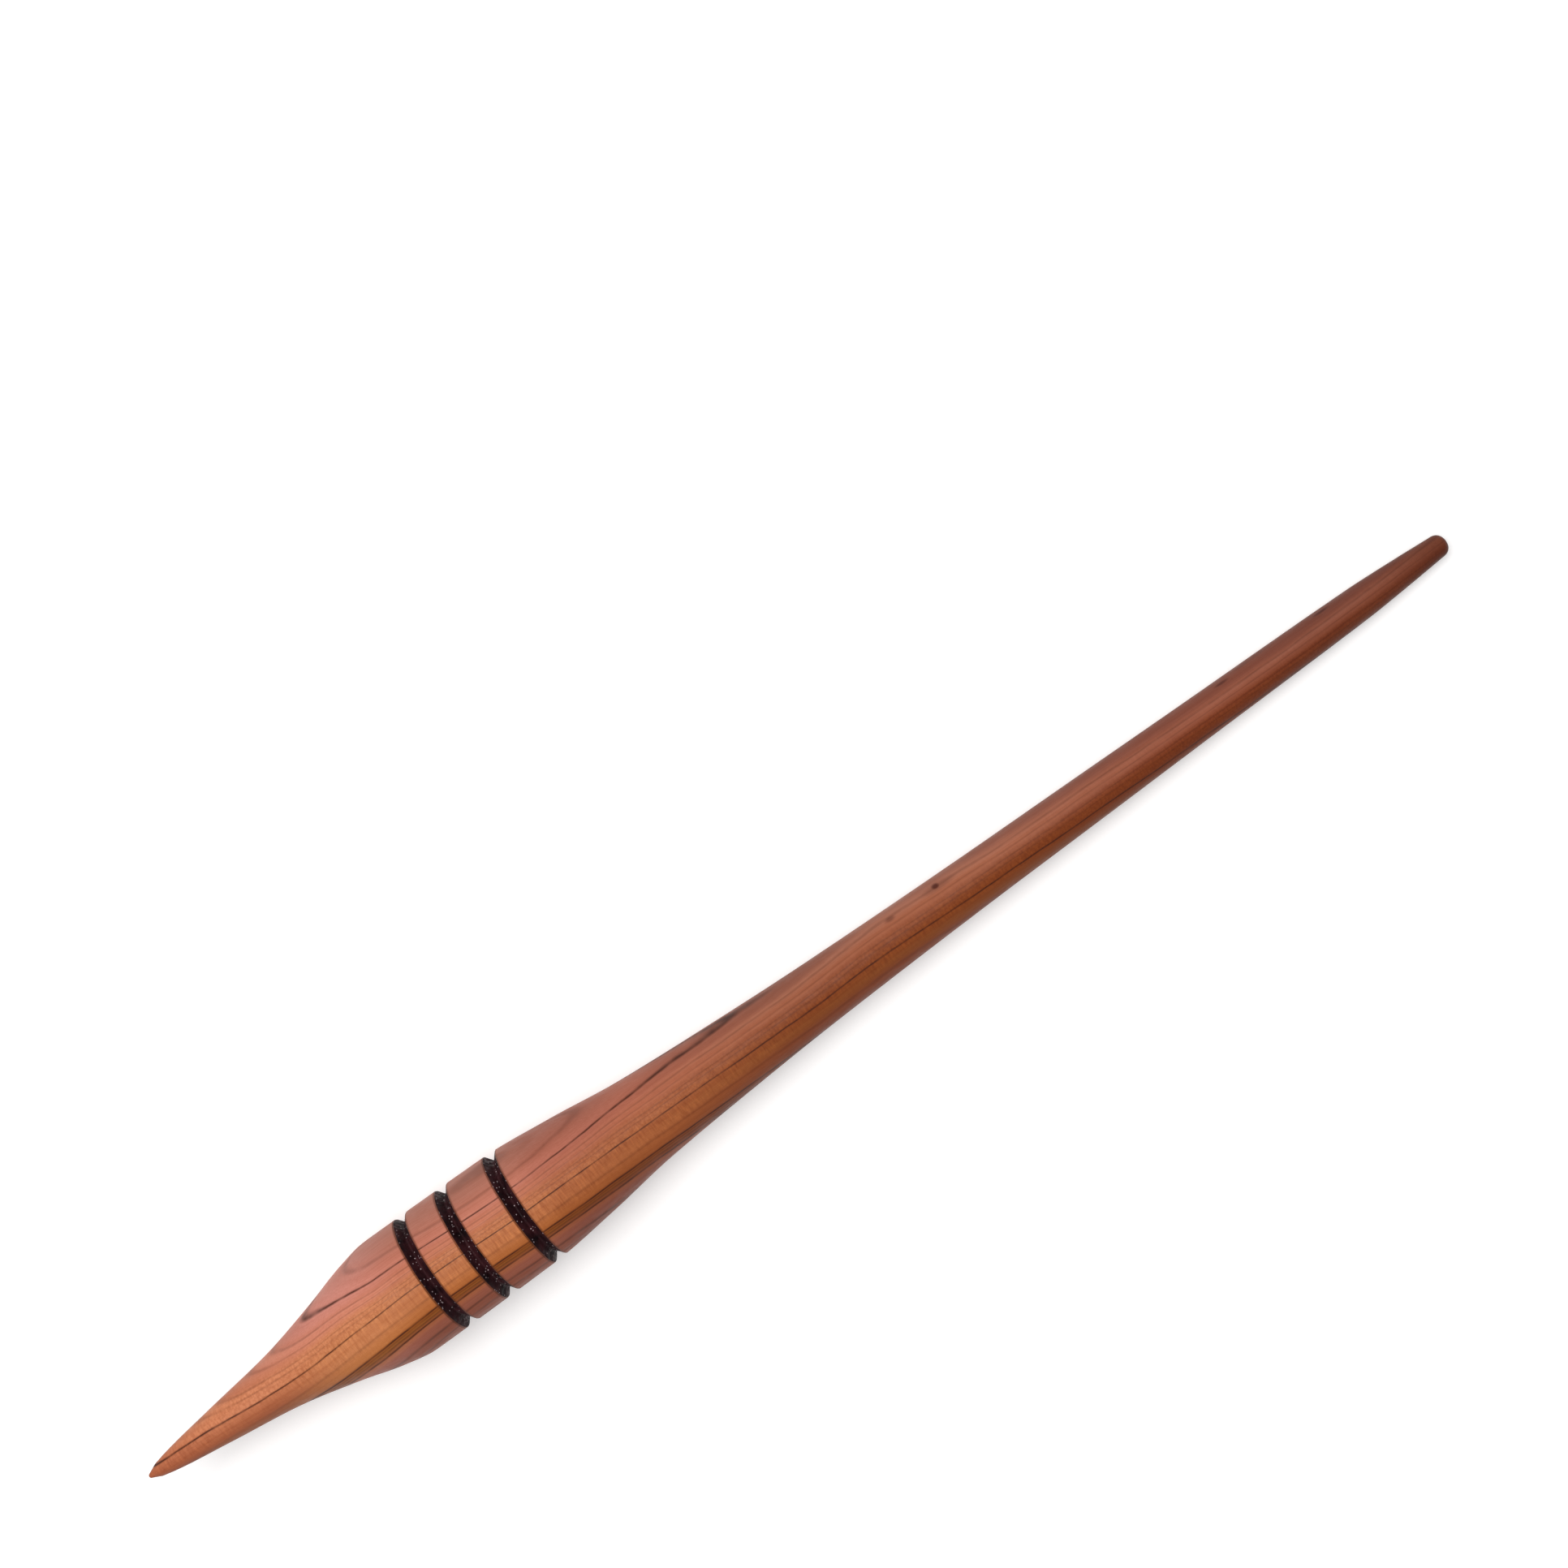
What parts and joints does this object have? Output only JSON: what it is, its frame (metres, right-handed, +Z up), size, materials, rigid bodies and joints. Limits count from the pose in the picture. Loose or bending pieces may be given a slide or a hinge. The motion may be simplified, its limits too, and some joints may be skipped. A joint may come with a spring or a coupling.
{
  "type": "support spindle",
  "caption": "Turned wooden support spindle: rounded point, slim nose, full belly with burnt V-grooves, long tapering shaft and small rounded end.",
  "frame": {"origin": "middle of the length and width, at the table that the spindle lies on, level with the lowest line of its belly and its thin end", "axes": "+X along the table from the point to the thin end, +Z up; the spindle's own axis falls 2.45 degrees from the point to the thin end"},
  "size_m": [0.2998, 0.024, 0.025],
  "materials": {
    "oiled_fruitwood": "fine-turned, oiled, satin",
    "charred_wood": "burnt, matt, crusty"
  },
  "bodies": {
    "root": {"wooden_body": "oiled_fruitwood", "burnt_groove_lower": "charred_wood", "burnt_groove_middle": "charred_wood", "burnt_groove_upper": "charred_wood"}
  },
  "joints": []
}
